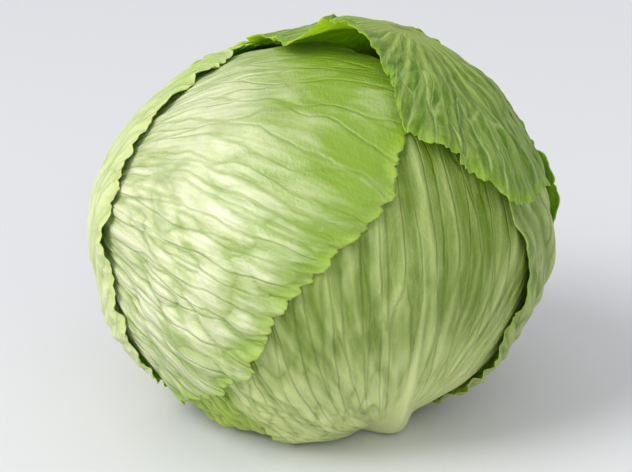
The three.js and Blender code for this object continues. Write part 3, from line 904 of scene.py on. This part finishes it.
def makeLeaf(leaf):
    # the leaf's mesh with its values; paleness falls from 1 to 0 on an S-curve of the angle
    # from the palest place, plus slow patches
    mesh, values = leafMesh(leaf)
    look = leaf["look"]
    near, far = look["paleReach"]
    toPalest = np.degrees(np.arccos(np.clip(values["ways"] @ direction(*look["palest"]), -1, 1)))
    patches = 0.35 * noise(values["ways"] * 3.0, leaf["seed"] + 9)
    values["pale"] = 1.0 - smooth(near, far, toPalest) + patches
    values["edge"] = 1.0 - smooth(0.0, head["rimReach"], values["inward"])
    for name in leafValues:
        addValues(mesh, name, values[name])
    addVeinMap(mesh, values["across"], values["along"])
    finishPiece(mesh, leaf["node"] + "_blade", leaf["node"],
                leafMaterial(leaf["node"], look))


# The heart: a closed ball of crumpled leaf, and the short stem that it grows on.
heartLook = {"rings": 56, "sides": 96, "colour": (0.66, 0.74, 0.33), "fold": (0.5, 0.6, 0.17),
             "foldScale": 60.0, "grainScale": 260.0}
stemLook = {
    "sides": 112, "rings": 84,
    "profile": [(0.0, 0.0012), (0.4, 0.0006), (0.8, 0.0), (0.96, 0.0004), (1.0, 0.002),
                (0.985, 0.006), (1.0, 0.012), (0.88, 0.019), (0.7, 0.026), (0.35, 0.0325),
                (0.0, 0.034)],
    "flesh": (0.72, 0.70, 0.45), "rim": (0.42, 0.44, 0.16), "cut": (0.52, 0.36, 0.17),
    "rimFrom": (0.62, 1.02), "rustHeight": (0.0012, 0.004), "waverScale": 300.0,
    "rustScale": 160.0, "grainScale": 700.0,
}


def turnedMesh(name, points, sides):
    # a closed skin: rows of points round an axis between two poles, from the low pole up
    rows = (len(points) - 2) // sides
    index = 1 + np.arange(rows * sides).reshape(rows, sides)
    index = np.concatenate([index, index[:, :1]], 1)
    quads = np.stack([index[:-1, :-1], index[:-1, 1:], index[1:, 1:], index[1:, :-1]], -1)
    low = np.stack([np.zeros(sides, int), index[0, 1:], index[0, :-1]], -1)
    high = np.stack([np.full(sides, len(points) - 1), index[-1, :-1], index[-1, 1:]], -1)
    return makeMesh(name, points, quads.reshape(-1, 4), np.concatenate([low, high]))


def makeHeart():
    # an ellipsoid with crumpled swells, flat where it rests on the leaves under it
    latitude = np.linspace(-90.0, 90.0, heartLook["rings"])[1:-1]
    longitude = np.arange(heartLook["sides"]) / heartLook["sides"] * 360.0
    rows = direction(*np.meshgrid(longitude, latitude)).reshape(-1, 3)
    ways = np.concatenate([[[0, 0, -1.0]], rows, [[0, 0, 1.0]]])
    over = head["innerLeaves"] + sum(coverage(leaf, ways) for leaf in leaves)
    radius = softMin(heartRadius(ways), groundRadius(ways, over), head["groundBlend"])
    crumple = np.abs(noise(ways * 5.0, 60)) + 0.5 * np.abs(noise(ways * 11.0, 61))
    radius = radius - head["heartGap"] - 0.001 * crumple
    mesh = turnedMesh("heart", ways * radius[:, None] + headCentre, heartLook["sides"])
    finishPiece(mesh, "heart_ball", "heart", heartMaterial())


def makeStem():
    # a lathe profile, out of round by a few per cent, with shallow ribs down its side
    profile = np.array(stemLook["profile"])
    steps = np.concatenate([[0.0], np.cumsum(np.linalg.norm(
        np.diff(profile * [stemRadius, 1.0], axis=0), axis=1))])
    along = np.linspace(0.0, steps[-1], stemLook["rings"])[1:-1]
    share = np.interp(along, steps, profile[:, 0])[:, None]
    height = np.interp(along, steps, profile[:, 1])[:, None]
    turn = np.arange(stemLook["sides"]) / stemLook["sides"] * 2.0 * np.pi
    ribs = 0.02 * np.sin(9 * turn) * np.sin(2 * turn + 1.0) - 0.02
    radius = stemRadius * share * (1.0 + ribs * smooth(0.5, 0.95, share))
    dish = 0.0004 * noise2(radius * np.cos(turn) / 0.002, radius * np.sin(turn) / 0.002, 70)
    height = np.maximum(height + dish * (1.0 - smooth(0.001, 0.004, height)), 0.0)
    rows = np.stack([radius * np.cos(turn), radius * np.sin(turn),
                     np.broadcast_to(height, radius.shape)], -1).reshape(-1, 3)
    ends = profile[[0, -1], 1]
    points = np.concatenate([[[0, 0, ends[0]]], rows, [[0, 0, ends[1]]]])
    points = points + [stemCentre[0], stemCentre[1], stemLow[2]]
    mesh = turnedMesh("stem", points, stemLook["sides"])
    finishPiece(mesh, "stem_stub", "stem", stemMaterial())


def finishPiece(mesh, name, node, material):
    # puts a mesh in the scene in place of its node, unturned at the origin
    mesh.materials.append(material)
    piece = bpy.data.objects.new(name, mesh)
    bpy.context.collection.objects.link(piece)
    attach(piece, "root")
    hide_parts(node)


def heartMaterial():
    # the leaf colour mixed with the greener fold colour by a noise
    material, tree, shader = newMaterial("heart_flesh")
    place = addNode(tree, "ShaderNodeTexCoord").outputs["Object"]
    folds = noiseTexture(tree, place, heartLook["foldScale"], 4.0)
    tree.links.new(mixColour(tree, folds, heartLook["colour"], heartLook["fold"]),
                   shader.inputs["Base Color"])
    shader.inputs["Roughness"].default_value = 0.45
    shader.inputs["Subsurface Weight"].default_value = 0.4
    shader.inputs["Subsurface Radius"].default_value = (0.002, 0.0025, 0.0008)
    grain = noiseTexture(tree, place, heartLook["grainScale"], 4.0)
    addBump(tree, shader, grain, 0.4, 0.0008)
    return material


def stemMaterial():
    # flesh to a greener rim by distance from the stem's axis, then rust by a noise times
    # nearness to the cut face
    material, tree, shader = newMaterial("stem_flesh")
    place = addNode(tree, "ShaderNodeTexCoord").outputs["Object"]
    centred = addNode(tree, "ShaderNodeVectorMath", {"operation": "SUBTRACT"}, in0=place,
                      in1=(stemCentre[0], stemCentre[1], 0.0)).outputs[0]
    split = addNode(tree, "ShaderNodeSeparateXYZ", in0=centred)
    flat = addNode(tree, "ShaderNodeCombineXYZ", in0=split.outputs[0], in1=split.outputs[1])
    out = addNode(tree, "ShaderNodeVectorMath", {"operation": "LENGTH"}, in0=flat.outputs[0])
    waver = noiseTexture(tree, place, stemLook["waverScale"], 4.0)
    ring = addNode(tree, "ShaderNodeMath", {"operation": "MULTIPLY_ADD"},
                   in0=waver, in1=0.003, in2=out.outputs["Value"])
    inner, outer = stemLook["rimFrom"]
    rings = remap(tree, ring.outputs[0], stemRadius * inner, stemRadius * outer,
                  kind="SMOOTHSTEP")
    nearCut = remap(tree, split.outputs[2], *stemLook["rustHeight"], 1.0, 0.0)
    skin = mixColour(tree, rings, stemLook["flesh"], stemLook["rim"])
    stain = remap(tree, noiseTexture(tree, place, stemLook["rustScale"], 5.0), 0.42, 0.75)
    rust = arithmetic(tree, "MULTIPLY", stain, nearCut)
    colour = mixColour(tree, rust, skin, stemLook["cut"])
    tree.links.new(colour, shader.inputs["Base Color"])
    shader.inputs["Roughness"].default_value = 0.55
    shader.inputs["Subsurface Weight"].default_value = 0.3
    shader.inputs["Subsurface Radius"].default_value = (0.003, 0.0025, 0.001)
    grain = noiseTexture(tree, place, stemLook["grainScale"], 4.0)
    addBump(tree, shader, grain, 0.5, 0.0006)
    return material


# The camera stands in front of the head and looks a little down on it.
view = {"elevation": 20.0, "distance": 0.65, "lens": 109.3, "aside": -0.0022, "lower": -0.0058}


def addCamera():
    # it stands off from the target along a line tilted up from the front by the elevation
    tilt = math.radians(view["elevation"])
    back = Vector((0.0, -math.cos(tilt), math.sin(tilt)))
    above = Vector((0.0, math.sin(tilt), math.cos(tilt)))
    target = Vector(headCentre) + Vector((view["aside"], 0, 0)) + above * view["lower"]
    data = bpy.data.cameras.new("camera")
    data.lens = view["lens"]
    data.sensor_width = 36.0
    camera = bpy.data.objects.new("camera", data)
    camera.location = target + back * view["distance"]
    camera.rotation_euler = (-back).to_track_quat("-Z", "Y").to_euler()
    bpy.context.collection.objects.link(camera)
    bpy.context.scene.camera = camera


studio = {
    "sunStrength": 1.4, "sunSoftness": 30.0, "sunFrom": (-0.68, -0.38, 0.8),
    "boxStrength": 3.8, "boxSize": 0.5, "boxFrom": (-0.75, -0.6, 0.75),
    "fillStrength": 4.5, "fillSize": 1.0, "fillFrom": (0.15, -1.0, 0.3),
    "sky": (0.87, 0.88, 0.92), "skyStrength": 0.85, "floor": (0.63, 0.63, 0.64),
    "floorSize": 12.0,
}


def addLight(name, kind, place, strength, size):
    # a light at a place measured from the head's centre, turned to face it
    data = bpy.data.lights.new(name, kind)
    data.energy = strength
    if kind == "SUN":
        data.angle = math.radians(size)
    else:
        data.size = size
    light = bpy.data.objects.new(name, data)
    light.location = Vector(headCentre) + Vector(place)
    light.rotation_euler = Vector(place).to_track_quat("Z", "Y").to_euler()
    bpy.context.collection.objects.link(light)


def addStudio():
    # one soft sun, two soft boxes, an even sky and a plain matt floor
    addLight("sun", "SUN", studio["sunFrom"], studio["sunStrength"], studio["sunSoftness"])
    addLight("softbox", "AREA", studio["boxFrom"], studio["boxStrength"], studio["boxSize"])
    addLight("fill", "AREA", studio["fillFrom"], studio["fillStrength"], studio["fillSize"])
    world = bpy.data.worlds.new("studio")
    world.use_nodes = True
    backdrop = world.node_tree.nodes["Background"]
    backdrop.inputs["Color"].default_value = (*studio["sky"], 1.0)
    backdrop.inputs["Strength"].default_value = studio["skyStrength"]
    bpy.context.scene.world = world
    bpy.context.scene.view_settings.view_transform = "Standard"
    bpy.ops.mesh.primitive_plane_add(size=studio["floorSize"])
    floor = bpy.context.object
    floor.name = "floor"
    material, _, shader = newMaterial("paper")
    shader.inputs["Base Color"].default_value = (*studio["floor"], 1.0)
    shader.inputs["Roughness"].default_value = 0.9
    floor.data.materials.append(material)


addCamera()
addStudio()
print("camera and studio ready")

for leaf in innerLeaves + leaves:
    addMargin(leaf)
for leaf in innerLeaves + leaves:
    makeLeaf(leaf)
    print("made", leaf["node"])
makeHeart()
makeStem()
print("made heart and stem")
